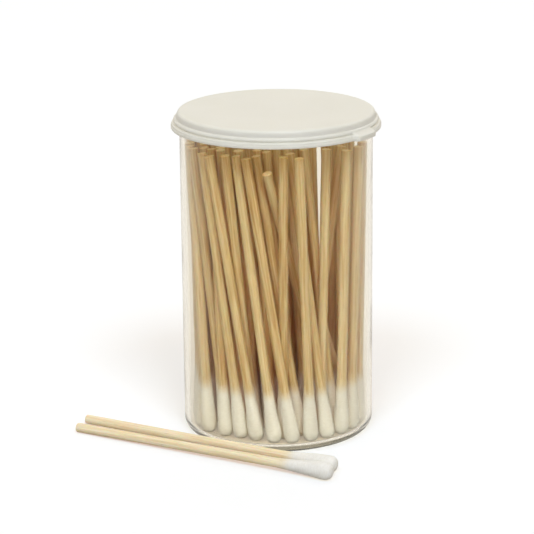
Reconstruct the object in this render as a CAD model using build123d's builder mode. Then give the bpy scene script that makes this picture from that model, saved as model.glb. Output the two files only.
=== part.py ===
from build123d import *

import os
from math import cos, floor, hypot, pi, radians, sin, sqrt

import numpy as np

# A clear moulded vial with a white snap lid, packed with single-ended cotton swabs.
# The swabs stand in the vial on their cotton ends, and two more lie in front of it.
# Millimetres. The origin is on the vial's axis at the surface that it stands on, +Z up,
# and the front of the vial faces -Y.

# Vial, injection moulded in clear polystyrene
vial_radius = 25.1
wall = 1.2
vial_floor = 1.6
head_room = 6.8
base_rounding = 2.4
inner_rounding = 1.2

# Rim of the vial, which the lid snaps over
rim_proud = 0.35
rim_bead_height = 1.6

# Lid, moulded in white low-density polyethylene
lid_height = 4.3
lid_panel = 1.1
lid_panel_rounding = 0.9
lid_step = 0.25
lid_bead_proud = 1.2
lid_bead_height = 1.45
lid_groove = 0.2
lid_lip_height = 0.8
lid_lip_proud = 0.4
lid_fit = 0.2
snap_bead = 0.1
snap_bead_height = 0.9
plug_wall = 0.9
plug_depth = 2.2
plug_fit = 0.3

# Thumb tab on the lid's edge, at the right of the front
tab_width = 8.0
tab_reach = 1.2
tab_height = 1.9
tab_rounding = 1.0
tab_azimuth = 55.0

# Round corners are made of a few flat bands each
base_band_count = 3
inner_band_count = 1
panel_band_count = 2
bead_band_count = 3

# Swab: a birch stick with cotton wound on one end, which is pressed slimmer in the vial
swab_length = 76.2
stick_diameter = 2.5
packed_bud_diameter = 4.1
loose_bud_diameter = 4.6
bud_length = 15.5
bud_past_stick = 1.5
bud_tip_diameter = 1.8
bud_neck_diameter = 2.58
stick_end_chamfer = 0.2
swab_gap = 0.12
seat_gap = 0.1

# Cotton and packed sticks have flat sides, and the more of a swab shows the more it has
loose_side_count = 16
front_side_count = 8
hidden_side_count = 5

# The cotton's outline: shares of its length from the tip, and of its diameter
bud_outline_shares = [(0.07, 0.8), (0.25, 1.0)]

# Two loose swabs on the surface in front of the vial
loose_yaw = 30.0
loose_spread = 1.2
loose_vial_gap = 0.2
loose_pair_gap = 0.25
loose_start = 44.0
loose_lead = 1.4

# Swabs that show at the front: where each foot stands, then where its stick's end leans,
# as shares of the vial's inner radius. From the left, the front row and then the second.
front_swab_shares = [
    ((-0.88, -0.14), (-0.78, -0.05)),
    ((-0.82, -0.33), (-0.84, -0.14)),
    ((-0.71, -0.50), (-0.91, -0.24)),
    ((-0.57, -0.63), (-0.83, -0.42)),
    ((-0.40, -0.71), (-0.78, -0.52)),
    ((-0.21, -0.78), (-0.71, -0.62)),
    ((-0.04, -0.88), (-0.43, -0.67)),
    ((0.155, -0.88), (-0.32, -0.76)),
    ((0.345, -0.82), (0.235, -0.90)),
    ((0.52, -0.71), (0.14, -0.60)),
    ((0.67, -0.60), (0.73, -0.55)),
    ((0.78, -0.44), (0.86, -0.38)),
    ((0.86, -0.26), (0.92, -0.17)),
    ((-0.27, -0.58), (-0.57, -0.72)),
    ((0.24, -0.66), (-0.21, -0.66)),
    ((0.60, 0.00), (-0.13, -0.90)),
    ((0.80, 0.04), (-0.09, -0.30)),
    ((0.61, -0.36), (0.30, -0.42)),
    ((0.44, -0.53), (0.50, -0.42)),
    ((0.27, -0.42), (0.69, -0.33)),
]

# The swabs behind stand in rings, wherever the front ones leave room.
# Left of the parting they lean to the left as the front ones do.
ring_shares = [0.9, 0.72, 0.55, 0.37, 0.19, 0.0]
crowding_share = 0.9
parting_share = 0.6
left_lean_shares = (-0.2, -0.06)
right_lean_shares = (0.04, 0.02)
wobble_share = 0.13
golden_angle = pi * (3 - sqrt(5))
settle_rounds = 600
settle_share = 0.3
front_yield_share = 0.15
middle_share = 0.58

os.makedirs("parts", exist_ok=True)

stick_radius = stick_diameter / 2
packed_bud_radius = packed_bud_diameter / 2
tip_radius = bud_tip_diameter / 2
vial_inner_radius = vial_radius - wall
vial_height = vial_floor + swab_length + head_room
lid_seat = vial_height
lid_top = lid_seat + lid_panel
lid_bottom = lid_top - lid_height


def save(piece, name):
    """Label a finished piece and write it to its own file."""
    piece.label = name
    export_step(piece, f"parts/{name}.step")


def rounding(middle, width, height, start, end, band_count):
    """Points round a corner of a profile, at equal angles from start to end in degrees.

    The corner is part of an ellipse about its middle, as wide and as high as is given from there.
    """
    turns = [radians(start + (end - start) * band / band_count) for band in range(band_count + 1)]
    return [(middle[0] + width * cos(turn), middle[1] + height * sin(turn)) for turn in turns]


# Vial: one turned profile, from the middle of its base round to the inside of its floor
rim_radius = vial_radius + rim_proud
rim_start = vial_height - rim_bead_height
base_flat_radius = vial_radius - base_rounding
inner_middle = (vial_inner_radius - inner_rounding, vial_floor + inner_rounding)

with BuildPart() as vial:
    with BuildSketch(Plane.XZ):
        with BuildLine():
            Polyline(
                (0, 0),
                *rounding((base_flat_radius, base_rounding), base_rounding, base_rounding, -90, 0, base_band_count),
                (vial_radius, rim_start),
                (rim_radius, rim_start + rim_proud),
                (rim_radius, vial_height),
                (vial_inner_radius, vial_height),
                *rounding(inner_middle, inner_rounding, inner_rounding, 0, -90, inner_band_count),
                (0, vial_floor),
                close=True,
            )
        make_face()
    revolve(axis=Axis.Z)
save(vial.part, "vial")

# Lid: a flat panel with a rounded edge, a shoulder, a bead, a groove and a bottom lip outside,
# and inside it a snap bead for the vial's rim and a plug ring for its mouth
cavity_radius = rim_radius + lid_fit
snap_radius = cavity_radius - snap_bead
plug_radius = vial_inner_radius - plug_fit
panel_middle = (cavity_radius - lid_panel_rounding, lid_top - lid_panel_rounding)
bead_radius = cavity_radius + lid_bead_proud
lip_radius = bead_radius + lid_lip_proud
lip_top = lid_bottom + lid_lip_height
bead_middle = (cavity_radius + lid_step, lip_top + lid_groove)
bead_width = lid_bead_proud - lid_step
snap_top = lid_bottom + snap_bead_height
tab_root_radius = (cavity_radius + bead_radius) / 2
tab_end_radius = lip_radius + tab_reach

with BuildPart() as lid:
    with BuildSketch(Plane.XZ):
        with BuildLine():
            Polyline(
                (0, lid_top),
                *rounding(panel_middle, lid_panel_rounding, lid_panel_rounding, 90, 0, panel_band_count),
                *rounding(bead_middle, bead_width, lid_bead_height, 90, 0, bead_band_count),
                (bead_radius - lid_groove, lip_top),
                (lip_radius, lip_top),
                (lip_radius, lid_bottom),
                (snap_radius, lid_bottom),
                (snap_radius, snap_top),
                (cavity_radius, snap_top + snap_bead),
                (cavity_radius, lid_seat),
                (plug_radius, lid_seat),
                (plug_radius, lid_seat - plug_depth),
                (plug_radius - plug_wall, lid_seat - plug_depth),
                (plug_radius - plug_wall, lid_seat),
                (0, lid_seat),
                close=True,
            )
        make_face()
    revolve(axis=Axis.Z)
    with BuildSketch(Plane.XY.offset(lid_bottom).rotated((0, 0, tab_azimuth - 90))) as tab_outline:
        with Locations((tab_root_radius, 0)):
            Rectangle(tab_end_radius - tab_root_radius, tab_width, align=(Align.MIN, Align.CENTER))
        fillet(tab_outline.vertices().sort_by(Axis.X)[-2:], tab_rounding)
    extrude(amount=tab_height)
save(lid.part, "lid")


# Swab forms, each with its axis on +Z and the cotton's tip at the origin
def bud_sections(bud_diameter):
    """Heights and radii of the cotton from its tip to its neck."""
    middle = [(share * bud_length, girth * bud_diameter / 2) for share, girth in bud_outline_shares]
    return [(0, tip_radius), *middle, (bud_length, bud_neck_diameter / 2)]


def faceted(sections, side_count):
    """A solid with flat sides, from the heights and radii of its sections."""
    turns = [360 * side / side_count for side in range(side_count)]
    rings = [[Vector(radius, 0, height).rotate(Axis.Z, turn) for turn in turns] for height, radius in sections]
    faces = [Face(Wire.make_polygon(ring)) for ring in (rings[0], rings[-1])]
    for lower, upper in zip(rings, rings[1:]):
        for side in range(side_count):
            corners = [lower[side - 1], lower[side], upper[side], upper[side - 1]]
            faces.append(Face(Wire.make_polygon(corners)))
    return Solid(Shell(faces))


def wound(stick, bud_diameter, side_count):
    """A stick, and the cotton wound on its lower end."""
    with BuildPart() as bud:
        add(faceted(bud_sections(bud_diameter), side_count))
        add(stick, mode=Mode.SUBTRACT)
    return stick, bud.part


def packed_swab(side_count):
    """A swab of those in the vial, whose stick has flat sides too."""
    stick = faceted([(bud_past_stick, stick_radius), (swab_length, stick_radius)], side_count)
    return wound(stick, packed_bud_diameter, side_count)


with BuildPart() as loose_stick:
    with BuildSketch(Plane.XY.offset(bud_past_stick)):
        Circle(stick_radius)
    extrude(amount=swab_length - bud_past_stick)
    chamfer(loose_stick.edges().sort_by(Axis.Z)[-1], stick_end_chamfer)


# Where the swabs stand. Each has a foot and a head, plan points on its axis: the foot at the level
# of its tip, and the head a swab's length above that, so the lean is the head less the foot.
def ring_swabs(placed):
    """Feet and heads of the swabs that stand behind the front ones."""
    pitch = packed_bud_diameter + swab_gap
    feet, heads = [], []
    for ring_share in ring_shares:
        radius = ring_share * vial_inner_radius
        places = max(1, floor(2 * pi * radius / pitch))
        for place in range(places):
            turn = 2 * pi * place / places
            foot = np.array([radius * sin(turn), radius * cos(turn)])
            if min(hypot(*(foot - other)) for other in [*placed, *feet]) < pitch * crowding_share:
                continue
            lean_shares = left_lean_shares
            if foot[0] > parting_share * vial_inner_radius:
                lean_shares = right_lean_shares
            wobble = golden_angle * len(feet)
            lean = np.array(lean_shares) + wobble_share * np.array([cos(wobble), sin(wobble)])
            feet.append(foot)
            heads.append(foot + lean * vial_inner_radius)
    return feet, heads


def girth(share):
    """Half the diameter of a packed swab at a share of its length from the tip."""
    heights, radii = zip(*bud_sections(packed_bud_diameter))
    if share * swab_length > bud_length:
        return stick_radius
    return float(np.interp(share * swab_length, heights, radii))


def hold_in(points, limit):
    """Bring the points that lie outside a radius back to it."""
    out = np.maximum(np.hypot(points[:, 0], points[:, 1]), limit)
    return points * (limit / out)[:, None]


def settle(feet, heads, yields):
    """Push the swabs apart, and in from the wall, a little at a time until they stand clear.

    They are compared at every section of their cotton, at their heads and where two of them cross.
    Of two swabs the one that yields more moves more.
    """
    stations = [height / swab_length for height, _ in bud_sections(packed_bud_diameter)[1:]] + [1]
    move_shares = 2 * settle_share * yields[:, None] / (yields[:, None] + yields)
    np.fill_diagonal(move_shares, 0)
    least = np.finfo(float).eps
    for _ in range(settle_rounds):
        slant = np.sqrt(1 + ((heads - feet) ** 2).sum(axis=1) / swab_length**2)
        foot_gap = feet[:, None] - feet
        change = heads[:, None] - heads - foot_gap
        nearest = -(foot_gap * change).sum(axis=2) / np.maximum((change**2).sum(axis=2), least)
        crossing = np.clip(nearest, bud_length / swab_length, 1)
        foot_moves, head_moves = np.zeros_like(feet), np.zeros_like(heads)
        for station in [*stations, crossing]:
            reach = girth(station) if np.isscalar(station) else stick_radius
            share = np.broadcast_to(station, move_shares.shape)[..., None]
            gap = foot_gap + share * change
            distance = np.maximum(np.hypot(gap[..., 0], gap[..., 1]), least)
            need = reach * (slant[:, None] + slant) + swab_gap
            short = np.maximum(need - distance, 0) * move_shares
            push = gap * (short / distance)[..., None] / ((1 - share) ** 2 + share**2)
            foot_moves += ((1 - share) * push).sum(axis=1)
            head_moves += (share * push).sum(axis=1)
        feet = hold_in(feet + foot_moves, vial_inner_radius - packed_bud_radius - swab_gap)
        heads = hold_in(heads + head_moves, vial_inner_radius - stick_radius - swab_gap)
    return feet, heads


def standing_place(foot, head):
    """The place of a swab whose tip stands on the vial's floor."""
    lean = head - foot
    tilt_sine = hypot(*lean) / hypot(*lean, swab_length)
    tip_height = vial_floor + seat_gap + tip_radius * tilt_sine
    return Location(Plane(origin=(*foot, tip_height), z_dir=(*lean, swab_length)))


front_feet = [np.array(foot) * vial_inner_radius for foot, _ in front_swab_shares]
front_heads = [np.array(head) * vial_inner_radius for _, head in front_swab_shares]
ring_feet, ring_heads = ring_swabs(front_feet)
front_count = len(front_swab_shares)
yields = np.array([front_yield_share] * front_count + [1] * len(ring_feet))
feet, heads = settle(np.array(front_feet + ring_feet), np.array(front_heads + ring_heads), yields)
standing = [standing_place(foot, head) for foot, head in zip(feet, heads)]
outer_count = front_count + sum(hypot(*foot) > middle_share * vial_inner_radius for foot in ring_feet)


# The loose swabs lie side by side with their cotton to the front, the rear one just clear of the vial
def lying_place(tip, yaw):
    """The place of a swab that lies on its cotton and on its stick's end."""
    widest, bud_radius = max(bud_sections(loose_bud_diameter), key=lambda section: section[1])
    drop = (bud_radius - stick_radius) / (swab_length - widest)
    tip_height = bud_radius + drop * widest
    return Location(Plane(origin=(*tip, tip_height), z_dir=(-cos(yaw), sin(yaw), -drop)))


rear_yaw = radians(loose_yaw)
front_yaw = radians(loose_yaw - loose_spread)
along = np.array([cos(rear_yaw), -sin(rear_yaw)])
across = np.array([-sin(rear_yaw), -cos(rear_yaw)])
rear_offset = vial_radius + stick_radius + loose_vial_gap
rear_tip = rear_offset * across + (swab_length - loose_start) * along
front_tip = rear_tip + (loose_bud_diameter + loose_pair_gap) * across + loose_lead * along


def save_swabs(name, swab, swab_places):
    """Write the sticks and the cotton at these places, each kind as the solids of one node."""
    plural = "s" if len(swab_places) > 1 else ""
    for form, kind in zip(swab, ("stick", "bud")):
        with BuildPart() as group:
            with Locations(*swab_places):
                add(form)
        save(group.part, f"{name}_{kind}{plural}")


# The swabs at the front are a node each, and the rest are grouped as they stand
front_swab = packed_swab(front_side_count)
hidden_swab = packed_swab(hidden_side_count)
loose_swab = wound(loose_stick.part, loose_bud_diameter, loose_side_count)
for number, place in enumerate(standing[:front_count], start=1):
    save_swabs(f"swab_{number:02d}", front_swab, [place])
save_swabs("outer_swab", hidden_swab, standing[front_count:outer_count])
save_swabs("inner_swab", hidden_swab, standing[outer_count:])
save_swabs("loose_rear_swab", loose_swab, [lying_place(rear_tip, rear_yaw)])
save_swabs("loose_front_swab", loose_swab, [lying_place(front_tip, front_yaw)])
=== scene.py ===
"""Looks of a clear vial packed with single-ended cotton swabs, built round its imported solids.

Sizes are in millimetres and are turned to metres where a mesh is made. The frame is that of
the solids: the origin on the vial's axis at its base, +Z up, and the front towards -Y.
"""

from __future__ import annotations

import logging
import math
from dataclasses import dataclass, field
from enum import Enum

import bpy
import numpy as np
from mathutils import Matrix, Vector

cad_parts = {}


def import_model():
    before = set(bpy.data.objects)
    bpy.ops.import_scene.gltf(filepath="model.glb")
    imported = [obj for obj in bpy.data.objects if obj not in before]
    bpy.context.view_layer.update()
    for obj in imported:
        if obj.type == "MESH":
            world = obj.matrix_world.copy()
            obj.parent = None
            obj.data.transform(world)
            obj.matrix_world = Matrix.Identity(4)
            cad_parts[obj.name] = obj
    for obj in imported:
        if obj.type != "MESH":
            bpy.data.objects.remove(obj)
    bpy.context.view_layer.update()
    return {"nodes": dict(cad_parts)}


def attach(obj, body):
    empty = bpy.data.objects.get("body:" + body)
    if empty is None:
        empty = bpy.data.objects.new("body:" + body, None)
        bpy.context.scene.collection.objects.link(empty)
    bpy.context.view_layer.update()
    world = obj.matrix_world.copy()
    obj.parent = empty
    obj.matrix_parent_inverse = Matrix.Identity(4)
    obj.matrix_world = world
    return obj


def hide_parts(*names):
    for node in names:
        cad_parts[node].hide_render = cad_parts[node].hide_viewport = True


log = logging.getLogger("swab_vial")

MM = 0.001
IMAGE_SIDE = 534
SENSOR_MM = 36.0

# The Mix node names its inputs and outputs alike for every kind of data, so its colours go by number
MIX_SHARE, MIX_FIRST, MIX_SECOND, MIX_RESULT = 0, 6, 7, 2

# The radius of the ring next to a pole, and how far a straight run keeps from the arcs at its ends
POLE_RING = 1.0
RUN_GAP = 1.0

# A swab's whole length, which the vial's height follows, and the numbers kept for one node's swabs
SWAB_LENGTH = 76.2
NUMBERS_PER_NODE = 100


class Body(Enum):
    """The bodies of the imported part."""

    VIAL = "vial"
    LID = "lid"


class Slot(Enum):
    """The material slots of the part's record."""

    CLEAR = "clear_polystyrene"
    WHITE = "white_polyethylene"
    BIRCH = "birch"
    COTTON = "cotton"


class Draw(Enum):
    """What is drawn at random for each swab, with the seed that the swab's number is added to."""

    GRAIN = 1000
    STICK = 3000
    BUD = 5000


# Colours and nodes


def linear(hex_colour: str) -> tuple[float, float, float, float]:
    """Turn an sRGB hex colour to linear light.

    Args:
        hex_colour: Six hex digits after a hash.

    Returns:
        Red, green, blue and an alpha of one.
    """
    shares = [int(hex_colour[i : i + 2], 16) / 255 for i in (1, 3, 5)]
    light = [c / 12.92 if c <= 0.04045 else ((c + 0.055) / 1.055) ** 2.4 for c in shares]
    return (*light, 1.0)


def add_node(
    tree: bpy.types.NodeTree,
    kind: str,
    inputs: dict | None = None,
    stops: tuple[tuple[float, str], ...] = (),
    **settings,
) -> bpy.types.Node:
    """Add a node with its settings, its values and its links.

    Args:
        tree: The node tree.
        kind: The node's type name.
        inputs: For each input's name or number, a value or the socket that feeds it.
        stops: A colour ramp's places from 0 to 1 in rising order, each with its hex colour.
        **settings: Attributes of the node.

    Returns:
        The node.
    """
    node = tree.nodes.new(kind)
    for name, value in settings.items():
        setattr(node, name, value)
    for key, value in (inputs or {}).items():
        if isinstance(value, bpy.types.NodeSocket):
            tree.links.new(value, node.inputs[key])
        else:
            node.inputs[key].default_value = value
    for number, (place, colour) in enumerate(stops):
        # A new ramp has two stops already
        elements = node.color_ramp.elements
        element = elements[number] if number < 2 else elements.new(place)
        element.position = place
        element.color = linear(colour)
    return node


def bent_path(tree: bpy.types.NodeTree) -> bpy.types.NodeSocket:
    """Tell the rays that reach something as the camera sees it in a gloss or through clear plastic.

    Rays that lit something first are left out, so that nothing is lit by what is only looked at.

    Args:
        tree: The node tree.

    Returns:
        A socket that is one for such rays and zero for others.
    """
    path = add_node(tree, "ShaderNodeLightPath")
    bent = add_node(
        tree,
        "ShaderNodeMath",
        {0: path.outputs["Is Glossy Ray"], 1: path.outputs["Is Transmission Ray"]},
        operation="MAXIMUM",
    )
    direct = add_node(
        tree, "ShaderNodeMath", {0: path.outputs["Diffuse Depth"], 1: 0.5}, operation="LESS_THAN"
    )
    both = add_node(
        tree, "ShaderNodeMath", {0: bent.outputs[0], 1: direct.outputs[0]}, operation="MULTIPLY"
    )
    return both.outputs[0]


def let_light_through(
    tree: bpy.types.NodeTree, shader: bpy.types.Node, colour: str, output: bpy.types.Node
) -> None:
    """Finish a material that shadow rays pass through, each face of it tinting them.

    Args:
        tree: The node tree.
        shader: The shader that all other rays see.
        colour: The hex colour by which one face tints the light.
        output: The material's output node.
    """
    through = add_node(tree, "ShaderNodeBsdfTransparent", {"Color": linear(colour)})
    shadow = add_node(tree, "ShaderNodeLightPath").outputs["Is Shadow Ray"]
    mix = add_node(
        tree, "ShaderNodeMixShader", {0: shadow, 1: shader.outputs["BSDF"], 2: through.outputs["BSDF"]}
    )
    tree.links.new(mix.outputs["Shader"], output.inputs["Surface"])


def new_material(name: str) -> tuple[bpy.types.Material, bpy.types.NodeTree, bpy.types.Node]:
    """Make an empty node material.

    Args:
        name: The finish's name.

    Returns:
        The material, its tree and its output node.
    """
    material = bpy.data.materials.new(name)
    material.use_nodes = True
    tree = material.node_tree
    tree.nodes.clear()
    return material, tree, add_node(tree, "ShaderNodeOutputMaterial")


# Meshes


@dataclass
class Skin:
    """A closed surface of rings, with a pole at each end and values at its points."""

    points: np.ndarray
    quads: np.ndarray
    triangles: np.ndarray
    values: dict[str, np.ndarray] = field(default_factory=dict)

    @classmethod
    def from_rings(cls, rings: np.ndarray, first: np.ndarray, last: np.ndarray) -> Skin:
        """Join rings of points into one closed surface.

        Each ring is joined to the next by quads, point by point, and the two end rings are
        closed by a fan round a pole.

        Args:
            rings: Points in millimetres, as rings by points by three.
            first: The pole before the first ring.
            last: The pole after the last ring.

        Returns:
            The surface.
        """
        count, around = rings.shape[:2]
        here = np.arange(count * around).reshape(count, around)
        beside = np.roll(here, -1, axis=1)
        quads = np.stack([here[:-1], beside[:-1], beside[1:], here[1:]], axis=-1).reshape(-1, 4)
        poles = np.full((2, around), count * around) + [[0], [1]]
        fans = np.concatenate(
            [
                np.stack([poles[0], beside[0], here[0]], axis=-1),
                np.stack([poles[1], here[-1], beside[-1]], axis=-1),
            ]
        )
        points = np.concatenate([rings.reshape(-1, 3), first[None], last[None]])
        return cls(points, quads, fans)

    def volume(self) -> float:
        """Add up the corners' triple products over all faces, each quad as two triangles.

        Returns:
            Six times the volume, below zero where the faces point inwards.
        """
        a, b, c, d = (self.points[self.quads[:, i]] for i in range(4))
        e, f, g = (self.points[self.triangles[:, i]] for i in range(3))
        parts = (np.einsum("ij,ij->", x, np.cross(y, z)) for x, y, z in ((a, b, c), (a, c, d), (e, f, g)))
        return float(sum(parts))

    def outward(self) -> Skin:
        """Turn the faces to point outwards.

        Returns:
            The surface, with its faces turned round if they pointed inwards.
        """
        if self.volume() < 0:
            return Skin(self.points, self.quads[:, ::-1], self.triangles[:, ::-1], self.values)
        return self


def join_skins(skins: list[Skin]) -> Skin:
    """Put several surfaces into one, side by side.

    Args:
        skins: The surfaces, which carry the same values.

    Returns:
        One surface.
    """
    starts = np.cumsum([0] + [len(s.points) for s in skins[:-1]])
    return Skin(
        np.concatenate([s.points for s in skins]),
        np.concatenate([s.quads + start for s, start in zip(skins, starts)]),
        np.concatenate([s.triangles + start for s, start in zip(skins, starts)]),
        {key: np.concatenate([s.values[key] for s in skins]) for key in skins[0].values},
    )


def make_piece(
    name: str,
    skin: Skin,
    material: bpy.types.Material,
    body: Body,
    nodes: list[str],
    crease: float,
) -> bpy.types.Object:
    """Make a visible piece from a surface, in place of CAD nodes.

    Args:
        name: The piece's name.
        skin: Its surface, in millimetres.
        material: Its finish.
        body: The body that it rides on.
        nodes: The CAD nodes that it stands for.
        crease: The angle in degrees past which an edge is sharp.

    Returns:
        The piece.
    """
    skin = skin.outward()
    corners = np.concatenate([skin.quads.ravel(), skin.triangles.ravel()])
    totals = np.concatenate([np.full(len(skin.quads), 4), np.full(len(skin.triangles), 3)])
    mesh = bpy.data.meshes.new(name)
    mesh.vertices.add(len(skin.points))
    mesh.vertices.foreach_set("co", (skin.points * MM).astype(np.float32).ravel())
    mesh.loops.add(len(corners))
    mesh.loops.foreach_set("vertex_index", corners.astype(np.int32))
    mesh.polygons.add(len(totals))
    mesh.polygons.foreach_set("loop_start", (np.cumsum(totals) - totals).astype(np.int32))
    mesh.polygons.foreach_set("use_smooth", np.ones(len(totals), bool))
    mesh.update(calc_edges=True)
    mesh.validate()
    mesh.set_sharp_from_angle(angle=math.radians(crease))
    for key, values in skin.values.items():
        vector = values.ndim == 2
        attribute = mesh.attributes.new(key, "FLOAT_VECTOR" if vector else "FLOAT", "POINT")
        attribute.data.foreach_set("vector" if vector else "value", values.astype(np.float32).ravel())
    mesh.materials.append(material)
    piece = bpy.data.objects.new(name, mesh)
    bpy.context.scene.collection.objects.link(piece)
    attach(piece, body.value)
    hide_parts(*nodes)
    log.info("%s: %d triangles", name, 2 * len(skin.quads) + len(skin.triangles))
    return piece


def arc(
    middle: tuple[float, float], width: float, height: float, start: float, end: float, steps: int
) -> np.ndarray:
    """Points round part of an ellipse in a profile's plane.

    Each point is the middle plus the width times the cosine and the height times the sine of
    an angle that goes from start to end in equal steps.

    Args:
        middle: The ellipse's middle, as radius and height.
        width: Its half width.
        height: Its half height.
        start: The first angle in degrees.
        end: The last angle in degrees.
        steps: The number of steps between them.

    Returns:
        Points as radius and height.
    """
    turn = np.radians(np.linspace(start, end, steps + 1))
    return np.stack([middle[0] + width * np.cos(turn), middle[1] + height * np.sin(turn)], axis=1)


def turned_rings(profile: np.ndarray, around: int) -> np.ndarray:
    """Carry a profile round the vial's axis.

    A profile point at radius r and height h gives the ring (r cos a, r sin a, h), for equal
    steps of the angle a.

    Args:
        profile: Points as radius and height, none of them on the axis.
        around: The number of points round a ring.

    Returns:
        Rings of points.
    """
    turn = np.linspace(0, 2 * np.pi, around, endpoint=False)
    ring = np.stack([np.cos(turn), np.sin(turn)], axis=1)
    flat = profile[:, None, :1] * ring[None]
    level = np.broadcast_to(profile[:, None, 1:], (*flat.shape[:2], 1))
    return np.concatenate([flat, level], axis=2)


def smooth_step(x: np.ndarray) -> np.ndarray:
    """Three x squared less two x cubed, for x held between 0 and 1."""
    held = np.clip(x, 0, 1)
    return held * held * (3 - 2 * held)


# Finishes


@dataclass(frozen=True)
class ClearPolystyrene:
    """General-purpose polystyrene from a polished mould: clear, faintly warm, with a high gloss.

    It bends light strongly, so that the thick base and the rim draw bright and dark lines.
    """

    tint: str = "#fbf9f3"
    light_through: str = "#efe9da"
    gloss_tint: str = "#4c4c4b"
    body_colour: str = "#ddd6bc"
    body_density: float = 20.0
    roughness: float = 0.03
    ior: float = 1.59
    sink_mm: float = 14.0
    sink_depth_mm: float = 0.3
    sink_strength: float = 0.15

    def material(self) -> bpy.types.Material:
        """Make the material: clear, a little uneven from the mould, and warm where it is deep.

        Shadow rays pass through it as they do through the thin wall.

        Returns:
            The material.
        """
        material, tree, output = new_material("clear_moulded_polystyrene")
        place = add_node(tree, "ShaderNodeTexCoord").outputs["Object"]
        sink = add_node(
            tree, "ShaderNodeTexNoise", {"Vector": place, "Scale": 1 / (self.sink_mm * MM), "Detail": 1.0}
        )
        bump = add_node(
            tree,
            "ShaderNodeBump",
            {
                "Height": sink.outputs["Fac"],
                "Strength": self.sink_strength,
                "Distance": self.sink_depth_mm * MM,
            },
        )
        plastic = add_node(
            tree,
            "ShaderNodeBsdfPrincipled",
            {
                "Base Color": linear(self.tint),
                "Roughness": self.roughness,
                "IOR": self.ior,
                "Specular Tint": linear(self.gloss_tint),
                "Transmission Weight": 1.0,
                "Normal": bump.outputs["Normal"],
            },
        )
        depth = add_node(
            tree,
            "ShaderNodeVolumeAbsorption",
            {"Color": linear(self.body_colour), "Density": self.body_density},
        )
        tree.links.new(depth.outputs["Volume"], output.inputs["Volume"])
        let_light_through(tree, plastic, self.light_through, output)
        return material


@dataclass(frozen=True)
class WhitePolyethylene:
    """Low-density polyethylene, moulded white: satin and waxy, and some light comes through it.

    The mould's texture is coarser here than a real one, so that it shows.
    """

    colour: str = "#e3e3dc"
    flow_colour: str = "#e0e0d8"
    light_through: str = "#e2d8c4"
    roughness: float = 0.45
    shinier_by: float = 0.05
    duller_by: float = 0.07
    ior: float = 1.51
    flow_mm: float = 9.0
    flow_low: float = 0.3
    flow_high: float = 0.7
    texture_mm: float = 0.35
    texture_depth_mm: float = 0.02
    texture_strength: float = 0.25
    glow_weight: float = 0.6
    glow_mm: float = 1.6
    glow_reach: tuple[float, float, float] = (1.0, 0.97, 0.9)

    def material(self) -> bpy.types.Material:
        """Make the material: broad flow marks in the gloss and a fine moulded texture.

        Returns:
            The material.
        """
        material, tree, output = new_material("white_moulded_polyethylene")
        place = add_node(tree, "ShaderNodeTexCoord").outputs["Object"]
        flow = add_node(
            tree, "ShaderNodeTexNoise", {"Vector": place, "Scale": 1 / (self.flow_mm * MM), "Detail": 2.0}
        )
        fine = add_node(
            tree, "ShaderNodeTexNoise", {"Vector": place, "Scale": 1 / (self.texture_mm * MM), "Detail": 2.0}
        )
        gloss = add_node(
            tree,
            "ShaderNodeMapRange",
            {
                "Value": flow.outputs["Fac"],
                "From Min": self.flow_low,
                "From Max": self.flow_high,
                "To Min": self.roughness - self.shinier_by,
                "To Max": self.roughness + self.duller_by,
            },
        )
        colour = add_node(
            tree,
            "ShaderNodeValToRGB",
            {"Fac": flow.outputs["Fac"]},
            stops=((self.flow_low, self.flow_colour), (self.flow_high, self.colour)),
        )
        bump = add_node(
            tree,
            "ShaderNodeBump",
            {
                "Height": fine.outputs["Fac"],
                "Strength": self.texture_strength,
                "Distance": self.texture_depth_mm * MM,
            },
        )
        plastic = add_node(
            tree,
            "ShaderNodeBsdfPrincipled",
            {
                "Base Color": colour.outputs["Color"],
                "Roughness": gloss.outputs["Result"],
                "IOR": self.ior,
                "Subsurface Weight": self.glow_weight,
                "Subsurface Radius": self.glow_reach,
                "Subsurface Scale": self.glow_mm * MM,
                "Normal": bump.outputs["Normal"],
            },
        )
        let_light_through(tree, plastic, self.light_through, output)
        return material


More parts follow.
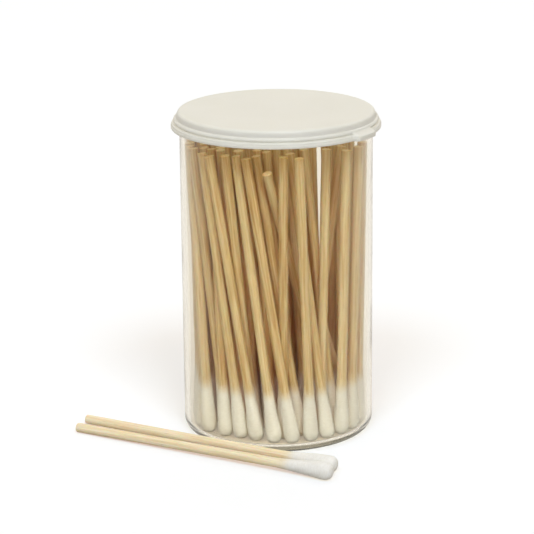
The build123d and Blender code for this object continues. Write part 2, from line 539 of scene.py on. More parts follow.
@dataclass(frozen=True)
class RawBirch:
    """Birch dowel, sanded and left raw: pale tan with fine grain along the stick, and matte.

    Its pores are about twice as wide here as real ones, the finest that the picture can show.
    """

    pale: str = "#f6ebce"
    light: str = "#edddb8"
    middle: str = "#dec798"
    dark: str = "#c49d65"
    pore: str = "#9a7342"
    light_through: str = "#cf985c"
    roughness: float = 0.68
    ior: float = 1.5
    gloss_level: float = 0.35
    glow_weight: float = 0.35
    glow_mm: float = 1.2
    glow_reach: tuple[float, float, float] = (1.0, 0.42, 0.16)
    tone_spread: float = 0.22
    grain_mm: float = 0.5
    grain_run_mm: float = 16.0
    grain_depth_mm: float = 0.05
    grain_strength: float = 0.4
    pore_mm: float = 0.16
    pore_run_mm: float = 4.0
    pore_low: float = 0.6
    pore_high: float = 0.74
    pore_cover: float = 0.35

    def figure(self, tree: bpy.types.NodeTree) -> tuple[bpy.types.NodeSocket, bpy.types.NodeSocket]:
        """Draw the wood's figure on the stick's own coordinates, with a tone for each stick.

        Args:
            tree: The node tree.

        Returns:
            The colour's socket and the grain's socket.
        """
        place = add_node(tree, "ShaderNodeAttribute", attribute_name="wood_at").outputs["Vector"]
        # The tone is each stick's own shade of wood with painted light added: paler cut ends and paler loose
        # sticks.
        tone = add_node(tree, "ShaderNodeAttribute", attribute_name="tone").outputs["Fac"]
        grain_size = (1 / self.grain_mm, 1 / self.grain_mm, 1 / self.grain_run_mm)
        pore_size = (1 / self.pore_mm, 1 / self.pore_mm, 1 / self.pore_run_mm)
        grain_at = add_node(tree, "ShaderNodeMapping", {"Vector": place, "Scale": grain_size})
        pore_at = add_node(tree, "ShaderNodeMapping", {"Vector": place, "Scale": pore_size})
        grain = add_node(
            tree,
            "ShaderNodeTexNoise",
            {
                "Vector": grain_at.outputs["Vector"],
                "Scale": 1.0,
                "Detail": 3.0,
                "Roughness": 0.5,
                "Distortion": 0.3,
            },
        )
        pores = add_node(
            tree, "ShaderNodeTexNoise", {"Vector": pore_at.outputs["Vector"], "Scale": 1.0, "Detail": 2.0}
        )
        shift = add_node(
            tree,
            "ShaderNodeMath",
            {0: tone, 1: self.tone_spread, 2: grain.outputs["Fac"]},
            operation="MULTIPLY_ADD",
        )
        centred = add_node(
            tree,
            "ShaderNodeMath",
            {0: shift.outputs["Value"], 1: self.tone_spread / 2},
            operation="SUBTRACT",
        )
        wood = add_node(
            tree,
            "ShaderNodeValToRGB",
            {"Fac": centred.outputs["Value"]},
            stops=((0.18, self.dark), (0.46, self.middle), (0.76, self.light), (0.95, self.pale)),
        )
        pore_mask = add_node(
            tree,
            "ShaderNodeMapRange",
            {
                "Value": pores.outputs["Fac"],
                "From Min": self.pore_low,
                "From Max": self.pore_high,
                "To Min": 0.0,
                "To Max": self.pore_cover,
            },
        )
        colour = add_node(
            tree,
            "ShaderNodeMix",
            {
                MIX_SHARE: pore_mask.outputs["Result"],
                MIX_FIRST: wood.outputs["Color"],
                MIX_SECOND: linear(self.pore),
            },
            data_type="RGBA",
        )
        return colour.outputs[MIX_RESULT], grain.outputs["Fac"]

    def material(self) -> bpy.types.Material:
        """Make the material: the figure, a fine relief of its grain and a warm glow from within.

        Returns:
            The material.
        """
        material, tree, output = new_material("raw_sanded_birch")
        colour, grain = self.figure(tree)
        bump = add_node(
            tree,
            "ShaderNodeBump",
            {"Height": grain, "Strength": self.grain_strength, "Distance": self.grain_depth_mm * MM},
        )
        wood_shader = add_node(
            tree,
            "ShaderNodeBsdfPrincipled",
            {
                "Base Color": colour,
                "Roughness": self.roughness,
                "IOR": self.ior,
                "Specular IOR Level": self.gloss_level,
                "Subsurface Weight": self.glow_weight,
                "Subsurface Radius": self.glow_reach,
                "Subsurface Scale": self.glow_mm * MM,
                "Normal": bump.outputs["Normal"],
            },
        )
        let_light_through(tree, wood_shader, self.light_through, output)
        return material


@dataclass(frozen=True)
class WoundCotton:
    """Bleached cotton wound on the stick: white, fibrous, with a soft sheen and no gloss.

    It thins out where it ends, and lets the wood's colour through. A strand here is as wide as
    ten real fibres, the finest that the picture can show.
    """

    colour: str = "#f3f3ef"
    # Painted shade: the strands' low places, where the bump sinks, are painted this darker colour.
    hollow: str = "#e8e6df"
    light_through: str = "#f6ecd6"
    gloss_level: float = 0.1
    sheen: float = 0.25
    sheen_roughness: float = 0.6
    glow_weight: float = 0.2
    glow_mm: float = 0.4
    glow_reach: tuple[float, float, float] = (1.0, 0.95, 0.85)
    wind_mm: float = 0.9
    strand_mm: float = 0.22
    strand_depth_mm: float = 0.12
    strand_strength: float = 0.55
    hollow_shade_at: float = 0.3
    full_at: float = 0.6
    ragged: float = 0.22
    fade_from: float = 0.82
    fade_to: float = 1.08

    def material(self) -> bpy.types.Material:
        """Make the material on the bud's own coordinates: strands lie round the stick.

        The fade to the wood follows the place along the bud, with the strands added to it by a
        share, so that it ends raggedly.

        Returns:
            The material.
        """
        material, tree, output = new_material("wound_bleached_cotton")
        place = add_node(tree, "ShaderNodeAttribute", attribute_name="wood_at").outputs["Vector"]
        along = add_node(tree, "ShaderNodeAttribute", attribute_name="along").outputs["Fac"]
        strand_size = (1 / self.wind_mm, 1 / self.wind_mm, 1 / self.strand_mm)
        strand_at = add_node(tree, "ShaderNodeMapping", {"Vector": place, "Scale": strand_size})
        strands = add_node(
            tree,
            "ShaderNodeTexNoise",
            {
                "Vector": strand_at.outputs["Vector"],
                "Scale": 1.0,
                "Detail": 5.0,
                "Roughness": 0.65,
                "Distortion": 0.8,
            },
        )
        # Painted shade: the colour falls to the darker hollow one where the strands' bump is low, between the
        # strands.
        white = add_node(
            tree,
            "ShaderNodeValToRGB",
            {"Fac": strands.outputs["Fac"]},
            stops=((self.hollow_shade_at, self.hollow), (self.full_at, self.colour)),
        )
        ragged = add_node(
            tree,
            "ShaderNodeMath",
            {0: strands.outputs["Fac"], 1: self.ragged, 2: along},
            operation="MULTIPLY_ADD",
        )
        fade = add_node(
            tree,
            "ShaderNodeMapRange",
            {
                "Value": ragged.outputs["Value"],
                "From Min": self.fade_from,
                "From Max": self.fade_to,
                "To Min": 0.0,
                "To Max": 1.0,
            },
            interpolation_type="SMOOTHSTEP",
        )
        wood, _ = RawBirch().figure(tree)
        colour = add_node(
            tree,
            "ShaderNodeMix",
            {MIX_SHARE: fade.outputs["Result"], MIX_FIRST: white.outputs["Color"], MIX_SECOND: wood},
            data_type="RGBA",
        )
        bump = add_node(
            tree,
            "ShaderNodeBump",
            {
                "Height": strands.outputs["Fac"],
                "Strength": self.strand_strength,
                "Distance": self.strand_depth_mm * MM,
            },
        )
        cotton = add_node(
            tree,
            "ShaderNodeBsdfPrincipled",
            {
                "Base Color": colour.outputs[MIX_RESULT],
                "Roughness": 1.0,
                "Specular IOR Level": self.gloss_level,
                "Sheen Weight": self.sheen,
                "Sheen Roughness": self.sheen_roughness,
                "Subsurface Weight": self.glow_weight,
                "Subsurface Radius": self.glow_reach,
                "Subsurface Scale": self.glow_mm * MM,
                "Normal": bump.outputs["Normal"],
            },
        )
        let_light_through(tree, cotton, self.light_through, output)
        return material


@dataclass(frozen=True)
class WhiteTable:
    """A matte white surface. It shows white to the camera and paler through plastic, and keeps shadows."""

    colour: str = "#c6c4c0"
    seen_colour: str = "#d6dae0"
    glow_colour: str = "#fdfbf7"
    seen_glow: float = 0.34
    bent_glow: float = 0.39

    def material(self) -> bpy.types.Material:
        """Make the material: a diffuse surface with a little light of its own where it is looked at.

        The camera sees it a little bluer under a warmer glow, which keeps it white and makes its
        shadows warm, and what it throws back on the object is neutral.

        Returns:
            The material.
        """
        material, tree, output = new_material("matte_white_table")
        seen = add_node(tree, "ShaderNodeLightPath").outputs["Is Camera Ray"]
        colour = add_node(
            tree,
            "ShaderNodeMix",
            {MIX_SHARE: seen, MIX_FIRST: linear(self.colour), MIX_SECOND: linear(self.seen_colour)},
            data_type="RGBA",
        )
        seen_part = add_node(tree, "ShaderNodeMath", {0: seen, 1: self.seen_glow}, operation="MULTIPLY")
        glow = add_node(
            tree,
            "ShaderNodeMath",
            {0: bent_path(tree), 1: self.bent_glow, 2: seen_part.outputs[0]},
            operation="MULTIPLY_ADD",
        )
        surface = add_node(
            tree,
            "ShaderNodeBsdfPrincipled",
            {
                "Base Color": colour.outputs[MIX_RESULT],
                "Roughness": 1.0,
                "Specular IOR Level": 0.0,
                "Emission Color": linear(self.glow_colour),
                "Emission Strength": glow.outputs[0],
            },
        )
        tree.links.new(surface.outputs["BSDF"], output.inputs["Surface"])
        return material


# The vial


@dataclass
class Vial:
    """The clear tube: a closed bottom with a round edge, and a rim bead that the lid hides."""

    radius: float = 25.1
    wall: float = 1.2
    floor: float = 1.6
    head_room: float = 6.8
    base_rounding: float = 2.4
    inner_rounding: float = 1.2
    foot_width: float = 2.4
    foot_recess: float = 0.3
    foot_slope: float = 0.6
    rim_proud: float = 0.35
    rim_height: float = 1.6
    rim_fillet: float = 0.12
    edge: float = 0.3
    around: int = 224
    crease: float = 50.0

    @property
    def height(self) -> float:
        """The tube's height: the swabs stand on its floor, with room above them."""
        return self.floor + SWAB_LENGTH + self.head_room

    @property
    def inner_radius(self) -> float:
        """The radius inside the wall."""
        return self.radius - self.wall

    @property
    def rim_radius(self) -> float:
        """The radius of the rim bead."""
        return self.radius + self.rim_proud

    def profile(self) -> np.ndarray:
        """The outline from the underside round the outside and over the rim to the inner floor.

        It is made of straight runs between arcs: each corner is a quarter ellipse.

        Returns:
            Points as radius and height.
        """
        inner, rim, edge, fillet = self.inner_radius, self.rim_radius, self.edge, self.rim_fillet
        base, bend = self.base_rounding, self.inner_rounding
        foot = self.radius - base
        hollow, half_deep = foot - self.foot_width, self.foot_recess / 2
        slope = hollow - self.foot_slope
        rim_start = self.height - self.rim_height
        runs = [
            np.linspace((POLE_RING, self.foot_recess), (slope, self.foot_recess), 6),
            arc((slope, half_deep), self.foot_slope, half_deep, 90, 0, 5)[1:],
            arc((hollow + edge, half_deep), edge, half_deep, 180, 270, 5),
            arc((foot, base), base, base, -90, 0, 16),
            np.linspace((self.radius, base + RUN_GAP), (self.radius, rim_start - RUN_GAP), 12),
            arc((self.radius + fillet, rim_start - fillet), fillet, fillet, 180, 110, 3),
            arc((rim - edge, rim_start + self.rim_proud), edge, edge, -60, 0, 4),
            arc((rim - edge, self.height - edge), edge, edge, 0, 90, 6),
            arc((inner + edge, self.height - edge), edge, edge, 90, 180, 6),
            np.linspace((inner, self.height - RUN_GAP), (inner, self.floor + bend + RUN_GAP), 12),
            arc((inner - bend, self.floor + bend), bend, bend, 0, -90, 12),
            np.linspace((inner - bend - RUN_GAP, self.floor), (POLE_RING, self.floor), 6),
        ]
        return np.concatenate(runs)

    def build(self, material: bpy.types.Material) -> None:
        """Build the vial.

        Args:
            material: Its finish.
        """
        skin = Skin.from_rings(
            turned_rings(self.profile(), self.around),
            np.array([0, 0, self.foot_recess]),
            np.array([0, 0, self.floor]),
        )
        make_piece("moulded_vial", skin, material, Body.VIAL, ["vial"], self.crease)


# The lid


@dataclass
class Lid:
    """The snap lid: a slightly dished panel, a round shoulder, a bead, a band, a lip and a thumb tab.

    What stands out is measured from the radius of the cavity that the vial's rim goes into, and
    heights are measured from the lip's lower edge.
    """

    vial: Vial
    height: float = 4.3
    panel: float = 1.1
    panel_rounding: float = 0.9
    panel_dish: float = 0.35
    dish_gap: float = 0.4
    fit: float = 0.2
    bead_proud: float = 0.95
    bead_width: float = 0.75
    bead_height: float = 0.66
    bead_level: float = 2.0
    band_proud: float = 1.4
    band_height: float = 1.35
    band_rounding: tuple[float, float] = (0.3, 0.25)
    band_draft: float = 0.01
    lip_proud: float = 1.6
    lip_height: float = 0.75
    lip_shoulder: float = 0.12
    lip_edge: float = 0.15
    snap_bead: float = 0.1
    snap_height: float = 0.9
    inner_edge: float = 0.2
    plug_fit: float = 0.3
    plug_wall: float = 0.9
    plug_depth: float = 2.2
    tab_azimuth: float = 55.0
    tab_width: float = 8.0
    tab_reach: float = 1.2
    tab_flank: float = 0.9
    tab_full_height: float = 1.1
    tab_end_height: float = 2.2
    around: int = 420
    crease: float = 50.0

    @property
    def seat(self) -> float:
        """The level of the panel's inner side, which lies on the vial's rim."""
        return self.vial.height

    @property
    def top(self) -> float:
        """The level of the panel's edge."""
        return self.seat + self.panel

    @property
    def bottom(self) -> float:
        """The level of the lip's lower edge."""
        return self.top - self.height

    @property
    def cavity_radius(self) -> float:
        """The radius of the cavity that the rim goes into."""
        return self.vial.rim_radius + self.fit

    @property
    def lip_radius(self) -> float:
        """The lid's widest radius, without the tab."""
        return self.cavity_radius + self.lip_proud

    def outer_profile(self) -> np.ndarray:
        """The outline of the outside, from the panel's middle down to the lip's lower edge.

        The panel is dished by a smooth step from its middle to its edge. Below its round
        shoulder come a small bead, a band and the lip, each a part of an ellipse.

        Returns:
            Points as radius and height.
        """
        rounding, shoulder, edge = self.panel_rounding, self.lip_shoulder, self.lip_edge
        panel = self.cavity_radius - rounding
        across = np.linspace(POLE_RING, panel - self.dish_gap, 24)
        sunk = self.top - self.panel_dish * (1 - smooth_step(across / panel))
        bead = (self.cavity_radius + self.bead_proud - self.bead_width, self.bottom + self.bead_level)
        band, band_top = self.cavity_radius + self.band_proud, self.bottom + self.band_height
        band_wide, band_high = self.band_rounding
        lip_top = self.bottom + self.lip_height
        runs = [
            np.stack([across, sunk], axis=1),
            arc((panel, self.top - rounding), rounding, rounding, 90, 12, 10),
            arc(bead, self.bead_width, self.bead_height, 78, -40, 14),
            arc((band - band_wide, band_top - band_high), band_wide, band_high, 90, 0, 7),
            np.array([(band + self.band_draft, lip_top + band_high)]),
            arc((self.lip_radius - shoulder, lip_top - shoulder), shoulder, shoulder, 90, 0, 5),
            arc((self.lip_radius - edge, self.bottom + edge), edge, edge, 0, -90, 5),
        ]
        return np.concatenate(runs)

    def inner_profile(self) -> np.ndarray:
        """The outline of the inside, from the lip's lower edge up round the plug ring to the middle.

        Returns:
            Points as radius and height.
        """
        edge, bend, cavity = self.lip_edge, self.inner_edge, self.cavity_radius
        snap, snap_top = cavity - self.snap_bead, self.bottom + self.snap_height
        plug = self.vial.inner_radius - self.plug_fit
        plug_inner, plug_end = plug - self.plug_wall, self.seat - self.plug_depth
        runs = [
            arc((snap + edge, self.bottom + edge), edge, edge, 270, 180, 4),
            np.array([(snap, snap_top), (cavity, snap_top + self.snap_bead)]),
            arc((cavity - bend, self.seat - bend), bend, bend, 0, 90, 4),
            np.array([(plug + edge, self.seat), (plug, self.seat - edge)]),
            arc((plug - bend, plug_end + bend), bend, bend, 0, -90, 4),
            arc((plug_inner + bend, plug_end + bend), bend, bend, 270, 180, 4),
            np.array([(plug_inner, self.seat - edge), (plug_inner - edge, self.seat)]),
            np.linspace((plug_inner - RUN_GAP, self.seat), (POLE_RING, self.seat), 8),
        ]
        return np.concatenate(runs)

    def with_tab(self, rings: np.ndarray, outer_count: int) -> np.ndarray:
        """Draw the thumb tab out of the lip.

        A point of the outside moves from its radius towards the tab's end radius by a share:
        the product of a window across the tab's width, with soft flanks, and of a fall with
        height that is full up to the bead and ends on it.

        Args:
            rings: The lid's rings.
            outer_count: How many of them are the outside.

        Returns:
            The rings with the tab.
        """
        out = rings.copy()
        outside = out[:outer_count]
        turn = np.arctan2(outside[..., 0], -outside[..., 1])
        span = np.abs(turn - math.radians(self.tab_azimuth)) * self.lip_radius
        window = smooth_step((self.tab_width / 2 + self.tab_flank / 2 - span) / self.tab_flank)
        end_level = self.bottom + self.tab_end_height
        fall = smooth_step((end_level - outside[..., 2]) / (self.tab_end_height - self.tab_full_height))
        radius = np.hypot(outside[..., 0], outside[..., 1])
        end = self.lip_radius + self.tab_reach
        reached = radius + (end - radius) * window * fall * (radius > self.cavity_radius)
        outside[..., :2] *= (reached / radius)[..., None]
        return out

    def build(self, material: bpy.types.Material) -> None:
        """Build the lid.

        Args:
            material: Its finish.
        """
        outer = self.outer_profile()
        profile = np.concatenate([outer, self.inner_profile()])
        rings = self.with_tab(turned_rings(profile, self.around), len(outer))
        middle = np.array([0, 0, self.top - self.panel_dish])
        skin = Skin.from_rings(rings, middle, np.array([0, 0, self.seat]))
        make_piece("moulded_snap_lid", skin, material, Body.LID, ["lid"], self.crease)


# The swabs


class Lie(Enum):
    """How swabs lie: packed in the vial, with their cotton pressed, or loose on the table."""

    PACKED = "packed"
    LOOSE = "loose"


@dataclass(frozen=True)
class SwabLine:
    """Where one swab is: the tip of its cotton, the way it points from there, and its number."""

    tip: np.ndarray
    way: np.ndarray
    number: int

    def place(self, local: np.ndarray, roll: float) -> np.ndarray:
        """Carry points from the swab's own frame, with the tip at its origin and +Z along the stick.

        Args:
            local: Points in millimetres.
            roll: The turn about the stick, in radians.

        Returns:
            The points in the part's frame.
        """
        # The first side is square to an axis that the swab isn't nearly parallel to
        side = np.cross(self.way, [0.0, 0.0, 1.0] if abs(self.way[2]) < 0.9 else [1.0, 0.0, 0.0])
        side /= np.linalg.norm(side)
        third = np.cross(self.way, side)
        first = side * math.cos(roll) + third * math.sin(roll)
        second = np.cross(self.way, first)
        return self.tip + local @ np.stack([first, second, self.way])


def node_islands(name: str) -> list[np.ndarray]:
    """The points of each separate solid of a CAD node, in millimetres.

    Corners that share a place are one point, and every point takes the lowest number that it
    can reach along the faces' edges, until nothing changes.

    Args:
        name: The CAD node.

    Returns:
        One array of points for each solid.
    """
    mesh = bpy.data.objects[name].data
    corners = np.empty(len(mesh.vertices) * 3)
    mesh.vertices.foreach_get("co", corners)
    points, index = np.unique(np.round(corners.reshape(-1, 3) / MM, 4), axis=0, return_inverse=True)
    edges = np.empty(len(mesh.edges) * 2, int)
    mesh.edges.foreach_get("vertices", edges)
    a, b = index.ravel()[edges.reshape(-1, 2)].T
    label = np.arange(len(points))
    while True:
        least = label.copy()
        np.minimum.at(least, a, label[b])
        np.minimum.at(least, b, label[a])
        least = least[least]
        if (least == label).all():
            break
        label = least
    return [points[label == value] for value in np.unique(label)]


@dataclass(frozen=True)
class Wave:
    """A wave on a swab: its height as a share of the radius, and how it runs round and along."""

    height: float
    turns: float
    run: float

    def at(self, turn: np.ndarray, share: np.ndarray, phase: float) -> np.ndarray:
        """Height times the cosine of turns by the angle, plus run by the share of length, plus a phase."""
        return self.height * np.cos(self.turns * turn + self.run * share + phase)


@dataclass
class Swabs:
    """The swabs of one stick node and one bud node, each a birch stick and its wound cotton."""

    stick_node: str
    bud_node: str
    first_number: int
    lie: Lie
    packed_bud_radius: float = 2.05
    loose_bud_radius: float = 2.3
    # Loose sticks are painted paler than packed ones: painted light, for sticks that lie lit in the open on
    # the table.
    loose_painted_light: float = 1.7
    # The far cut end is painted paler: partly paler end grain, partly painted light on the end face.
    end_grain_and_painted_light: float = 1.3
    cut_spread: float = 40.0
    stick_radius: float = 1.25
    past_stick: float = 1.5
    end_edge: float = 0.09
    end_gap: float = 0.6
    end_inset: float = 0.45
    end_tilt: float = 0.03
    stick_waves: tuple[Wave, ...] = (Wave(0.01, 2, 0), Wave(0.006, 3, 4), Wave(0.006, 0, 9))
    bud_length: float = 15.5
    widest: float = 0.17
    tip_power: float = 2.7
    tip_start: float = 0.02
    tip_crowding: float = 1.6
    neck_cover: float = 0.03
    calm_from: float = 0.55
    slimmer: float = 0.04
    lumps: tuple[Wave, ...] = (Wave(0.022, 2, 5), Wave(0.016, 3, -9), Wave(0.01, 5, 17))
    winding: Wave = Wave(0.01, 1, 2 * math.pi * 11)
    bore_gap: float = 0.01
    stick_around: int = 20
    stick_steps: int = 14
    bud_around: int = 36
    bud_steps: int = 40
    stick_crease: float = 40.0
    bud_crease: float = 60.0

    @property
    def stick_length(self) -> float:
        """The stick's own length, short of the cotton's tip."""
        return SWAB_LENGTH - self.past_stick

    @property
    def bud_radius(self) -> float:
        """The cotton's half thickness at its widest place."""
        return self.loose_bud_radius if self.lie is Lie.LOOSE else self.packed_bud_radius

    @property
    def painted_light_tones(self) -> float:
        """How much paler than inside the vial the wood is painted, in tones: painted light on the loose
        sticks, which lie in the open.
        """
        return self.loose_painted_light if self.lie is Lie.LOOSE else 0.0

    def lines(self) -> list[SwabLine]:
        """Read each swab's line from its CAD stick, with the end at its cotton as the start.

        The way is the direction in which the stick's points spread most.

        Returns:
            The lines, in the order of the solids.
        """
        buds = np.array([points.mean(axis=0) for points in node_islands(self.bud_node)])
        found = []
        for number, points in enumerate(node_islands(self.stick_node), start=self.first_number):
            middle = points.mean(axis=0)
            way = np.linalg.svd(points - middle, full_matrices=False)[2][0]
            reach = (points - middle) @ way
            ends = [middle + way * reach.min(), middle + way * reach.max()]
            near = [np.linalg.norm(buds - end, axis=1).min() for end in ends]
            start, stop = ends if near[0] < near[1] else ends[::-1]
            way = (stop - start) / np.linalg.norm(stop - start)
            found.append(SwabLine(start - way * self.past_stick, way, number))
        return found

    def grain(self, line: SwabLine) -> tuple[float, np.ndarray, float]:
        """Draw how a swab's wood was cut: its turn, its place in the grain and its tone.

        Args:
            line: Where the swab is.

        Returns:
            The turn in radians, the place in millimetres and the tone, with the painted light of a loose
            stick added.
        """
        rng = np.random.default_rng(Draw.GRAIN.value + line.number)
        roll = rng.uniform(0, 2 * np.pi)
        cut = rng.uniform(-self.cut_spread, self.cut_spread, 3)
        # A loose stick's tone is raised by painted light.
        return roll, cut, self.painted_light_tones + rng.uniform(0, 1)

    def stick(self, line: SwabLine) -> Skin:
        """One stick, nearly round, cut square at both ends with a broken edge.

        Round the stick the radius follows two slow waves of a hundredth of it or less, and along
        it one more, so that no two sticks catch the light alike. It is smaller by their heights,
        so that it stays inside the solid. The far cut end is painted paler than the side: partly
        paler end grain, partly painted light on the end face.

        Args:
            line: Where the swab is.

        Returns:
            The stick's surface.
        """
        roll, cut, tone = self.grain(line)
        phases = np.random.default_rng(Draw.STICK.value + line.number).uniform(0, 2 * np.pi, 4)
        last, edge = self.stick_length, self.end_edge
        body = np.linspace(self.end_gap, last - self.end_gap, self.stick_steps)
        level = np.concatenate([[0, 0, edge], body, [last - edge, last, last]])
        inset = np.zeros_like(level)
        inset[[0, -1]] = self.stick_radius * self.end_inset
        inset[[1, -2]] = edge
        turn = np.linspace(0, 2 * np.pi, self.stick_around, endpoint=False)
        share = level[:, None] / last
        waves = sum(
            wave.at(turn, share, phase) - wave.height for wave, phase in zip(self.stick_waves, phases)
        )
        radius = (self.stick_radius - inset[:, None]) * (1 + waves)
        height = np.broadcast_to(level[:, None], radius.shape)
        local = np.stack([radius * np.cos(turn), radius * np.sin(turn), height], axis=-1)
        # The far end was cut a little aslant: its edge by half as much as its face
        local[-3:, :, 2] += self.end_tilt * (np.cos(turn + phases[3]) - 1) * [[0], [1], [0.5]]
        local[..., 2] += self.past_stick
        ends = np.array([[0, 0, self.past_stick], [0, 0, self.past_stick + last]])
        skin = Skin.from_rings(line.place(local, roll), *line.place(ends, roll))
        own = np.concatenate([local.reshape(-1, 3), ends])
        skin.values["wood_at"] = own + cut
        # Partly painted light: the far cut end is painted paler than the side, beyond the paler end grain.
        skin.values["tone"] = tone + self.end_grain_and_painted_light * (own[:, 2] >= self.past_stick + last - edge / 2)
        return skin

    def bud_outline(self) -> tuple[np.ndarray, np.ndarray]:
        """The cotton's shares of length and of half thickness.

        Up to the widest place it is a superellipse, blunt at the tip. From there it falls to
        the stick by the mean of a straight line and a smooth step.

        Returns:
            Shares of the length, closer together at the tip, and the thickness there.
        """
        share = np.linspace(self.tip_start, 1, self.bud_steps) ** self.tip_crowding
        neck = (self.stick_radius + self.neck_cover) / self.bud_radius
        tip = (1 - np.clip(1 - share / self.widest, 0, 1) ** self.tip_power) ** (1 / self.tip_power)
        fall = np.clip((share - self.widest) / (1 - self.widest), 0, 1)
        girth = 1 - (1 - neck) * (fall + smooth_step(fall)) / 2
        return share, np.where(share < self.widest, tip, girth)

    def bud(self, line: SwabLine) -> Skin:
        """One wound bud, closed inside by the bore that the stick fills.

        The outline is carried round the stick. Its radius is swelled by slow lumps and by the
        ridges of the winding, a helix, and both die out towards the neck.

        Args:
            line: Where the swab is.

        Returns:
            The bud's surface.
        """
        roll, cut, tone = self.grain(line)
        phases = np.random.default_rng(Draw.BUD.value + line.number).uniform(0, 2 * np.pi, 4)
        share, girth = self.bud_outline()
        turn = np.linspace(0, 2 * np.pi, self.bud_around, endpoint=False)
        run = share[:, None]
        swell = sum(wave.at(turn, run, phase) for wave, phase in zip((*self.lumps, self.winding), phases))
        calm = 1 - smooth_step((run - self.calm_from) / (1 - self.calm_from))
        radius = girth[:, None] * self.bud_radius * (1 + (swell - self.slimmer) * calm)
        level = np.broadcast_to(run * self.bud_length, radius.shape)
        outer = np.stack([radius * np.cos(turn), radius * np.sin(turn), level], axis=-1)
        ring = np.stack([np.cos(turn), np.sin(turn), np.zeros_like(turn)], axis=-1)
        bore = ring * (self.stick_radius + self.bore_gap)
        inside = np.stack([bore + [0, 0, self.bud_length], bore + [0, 0, self.past_stick]])
        local = np.concatenate([outer, inside])
        ends = np.array([[0, 0, 0], [0, 0, self.past_stick]])
        skin = Skin.from_rings(line.place(local, roll), *line.place(ends, roll))
        own = np.concatenate([local.reshape(-1, 3), ends])
        skin.values["wood_at"] = own + cut
        skin.values["tone"] = np.full(len(own), tone)
        skin.values["along"] = own[:, 2] / self.bud_length
        return skin

    def build(self, birch: bpy.types.Material, cotton: bpy.types.Material) -> None:
        """Build the sticks and the buds.

        Args:
            birch: The sticks' finish.
            cotton: The buds' finish.
        """
        lines = self.lines()
        sticks = join_skins([self.stick(line) for line in lines])
        buds = join_skins([self.bud(line) for line in lines])
        stick_name = self.stick_node.replace("stick", "birch_stick")
        bud_name = self.bud_node.replace("bud", "wound_bud")
        make_piece(stick_name, sticks, birch, Body.VIAL, [self.stick_node], self.stick_crease)
        make_piece(bud_name, buds, cotton, Body.VIAL, [self.bud_node], self.bud_crease)


# The studio


@dataclass(frozen=True)
class Softbox:
    """A square lamp that looks at the vial's middle, with its distance and side in metres.

    Its azimuth goes from the front towards +X, in degrees, and its elevation up from level.
    """

    name: str
    azimuth: float
    elevation: float
    distance: float
    side: float
    level: float
    colour: str

    def build(self, target: Vector) -> None:
        """Place the lamp.

        Its power is such that a white surface that faces it at the target shows its level.

        Args:
            target: The point that it looks at, in metres.
        """
        turn, rise = math.radians(self.azimuth), math.radians(self.elevation)
        way = Vector((math.sin(turn) * math.cos(rise), -math.cos(turn) * math.cos(rise), math.sin(rise)))
        lamp = bpy.data.lights.new(self.name, "AREA")
        lamp.shape = "SQUARE"
        lamp.size = self.side
        lamp.energy = self.level * math.pi**2 * self.distance**2
        lamp.color = linear(self.colour)[:3]
        holder = bpy.data.objects.new(self.name, lamp)
        holder.location = target + way * self.distance
        holder.rotation_euler = way.to_track_quat("Z", "Y").to_euler()
        bpy.context.scene.collection.objects.link(holder)


def turn_pair(first: Vector, second: Vector, angle: float) -> tuple[Vector, Vector]:
    """Turn two unit vectors in their own plane, the second towards the first.

    Args:
        first: One vector.
        second: The other, at a right angle to it.
        angle: The angle in radians.

    Returns:
        The first by the cosine less the second by the sine, and the second by the cosine plus
        the first by the sine.
    """
    along, across = math.cos(angle), math.sin(angle)
    return first * along - second * across, second * along + first * across


@dataclass(frozen=True)
class PhotoCamera:
    """The camera that was fitted to the outlines in the photograph.

    It looks along +Y and down. The point on the vial's axis at target_mm lands at lands_at in
    a square picture of IMAGE_SIDE pixels.
    """

    target_mm: float = 40.0
    distance_mm: float = 602.0
    elevation: float = 16.73
    focal_px: float = 2279.0
    roll: float = -0.48
    lands_at: tuple[float, float] = (277.2, 278.3)

    def build(self) -> None:
        """Make the camera and set it as the scene's own."""
        rise = math.radians(self.elevation)
        forward = Vector((0, math.cos(rise), -math.sin(rise)))
        up = Vector((0, math.sin(rise), math.cos(rise)))
        right = Vector((1, 0, 0))
        place = Vector((0, 0, self.target_mm)) - forward * self.distance_mm
        pan = math.atan((self.lands_at[0] - IMAGE_SIDE / 2) / self.focal_px)
        tilt = math.atan((self.lands_at[1] - IMAGE_SIDE / 2) / self.focal_px)
        above, ahead = turn_pair(up, forward, tilt)
        ahead, right = turn_pair(ahead, right, pan)
        above, right = turn_pair(above, right, math.radians(self.roll))
        data = bpy.data.cameras.new("photo_camera")
        data.sensor_width = SENSOR_MM
        data.lens = SENSOR_MM * self.focal_px / IMAGE_SIDE
        data.clip_start = 0.01
        camera = bpy.data.objects.new("photo_camera", data)
        turn = Matrix((right, above, -ahead)).transposed().to_4x4()
        camera.matrix_world = Matrix.Translation(place * MM) @ turn
        bpy.context.scene.collection.objects.link(camera)
        bpy.context.scene.camera = camera


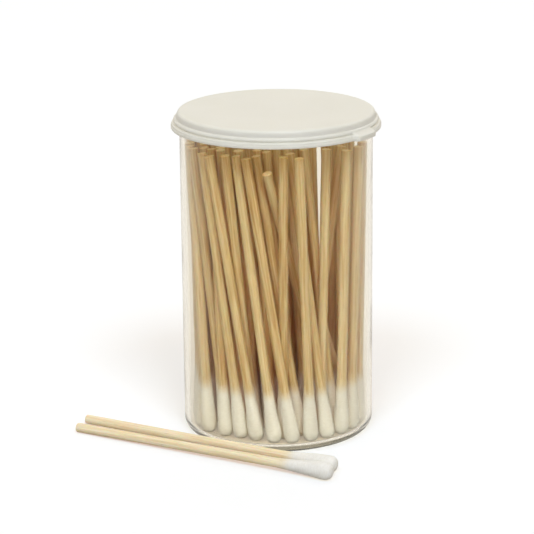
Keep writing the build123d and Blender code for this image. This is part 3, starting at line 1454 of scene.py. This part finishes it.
@dataclass
class Studio:
    """A white table, two softboxes at the sides of the camera and a soft warm surround."""

    floor_side: float = 9.0
    aim_mm: float = 40.0
    fill_low: float = 0.12
    fill_high: float = 0.5
    fill_back: float = 0.9
    fill_colour: str = "#fff2df"
    surround_back: str = "#ebe7dc"
    surround_front: str = "#b9b3a4"
    room_from: float = -0.5
    room_to: float = 0.3
    softboxes: tuple[Softbox, ...] = (
        Softbox("right_softbox", 19, 50, 16.0, 4.4, 0.38, "#f2f8ff"),
        Softbox("left_softbox", -19, 50, 16.0, 4.4, 0.34, "#f2f8ff"),
    )

    def build_floor(self) -> None:
        """Lay the table, which isn't part of the object."""
        half = self.floor_side / 2
        mesh = bpy.data.meshes.new("white_table")
        corners = [(-half, -half, 0), (half, -half, 0), (half, half, 0), (-half, half, 0)]
        mesh.from_pydata(corners, [], [(0, 1, 2, 3)])
        mesh.materials.append(WhiteTable().material())
        floor = bpy.data.objects.new("white_table", mesh)
        bpy.context.scene.collection.objects.link(floor)

    def build_world(self) -> None:
        """Make the surround: a soft fill, and what a gloss or clear plastic shows of the room.

        That is pale behind the vial and greyer in front of it, where the room is. The camera sees white.
        """
        world = bpy.data.worlds.new("soft_surround")
        bpy.context.scene.world = world
        world.use_nodes = True
        tree = world.node_tree
        tree.nodes.clear()
        output = add_node(tree, "ShaderNodeOutputWorld")
        way = add_node(tree, "ShaderNodeTexCoord").outputs["Generated"]
        parts = add_node(tree, "ShaderNodeSeparateXYZ", {"Vector": way})
        room_share = add_node(
            tree,
            "ShaderNodeMapRange",
            {"Value": parts.outputs["Y"], "From Min": self.room_from, "From Max": self.room_to},
        )
        room_colour = add_node(
            tree,
            "ShaderNodeValToRGB",
            {"Fac": room_share.outputs["Result"]},
            stops=((0.0, self.surround_front), (1.0, self.surround_back)),
        )
        room = add_node(
            tree, "ShaderNodeBackground", {"Color": room_colour.outputs["Color"], "Strength": 1.0}
        )
        above = add_node(
            tree,
            "ShaderNodeMapRange",
            {"Value": parts.outputs["Z"], "To Min": self.fill_low, "To Max": self.fill_high},
        )
        behind = add_node(tree, "ShaderNodeMath", {0: parts.outputs["Y"], 1: 0.0}, operation="MAXIMUM")
        level = add_node(
            tree,
            "ShaderNodeMath",
            {0: behind.outputs[0], 1: self.fill_back, 2: above.outputs["Result"]},
            operation="MULTIPLY_ADD",
        )
        fill = add_node(
            tree, "ShaderNodeBackground", {"Color": linear(self.fill_colour), "Strength": level.outputs[0]}
        )
        white = add_node(tree, "ShaderNodeBackground", {"Color": linear("#ffffff"), "Strength": 1.0})
        inner = add_node(
            tree,
            "ShaderNodeMixShader",
            {0: bent_path(tree), 1: fill.outputs["Background"], 2: room.outputs["Background"]},
        )
        seen = add_node(tree, "ShaderNodeLightPath").outputs["Is Camera Ray"]
        outer = add_node(
            tree, "ShaderNodeMixShader", {0: seen, 1: inner.outputs["Shader"], 2: white.outputs["Background"]}
        )
        tree.links.new(outer.outputs["Shader"], output.inputs["Surface"])

    def build(self) -> None:
        """Build the floor, the surround, the lamps and the camera."""
        self.build_floor()
        self.build_world()
        for softbox in self.softboxes:
            softbox.build(Vector((0, 0, self.aim_mm * MM)))
        PhotoCamera().build()
        bpy.context.scene.view_settings.view_transform = "Standard"


def main() -> None:
    """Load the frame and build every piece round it."""
    logging.basicConfig(level=logging.INFO, format="%(name)s: %(message)s")
    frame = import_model()
    birch = RawBirch().material()
    cotton = WoundCotton().material()
    vial = Vial()
    vial.build(ClearPolystyrene().material())
    Lid(vial).build(WhitePolyethylene().material())
    stick_nodes = sorted(name for name in frame["nodes"] if "_stick" in name)
    for place, stick_node in enumerate(stick_nodes):
        lie = Lie.LOOSE if "loose" in stick_node else Lie.PACKED
        bud_node = stick_node.replace("stick", "bud")
        Swabs(stick_node, bud_node, place * NUMBERS_PER_NODE, lie).build(birch, cotton)
    Studio().build()


if __name__ == "__main__":
    main()
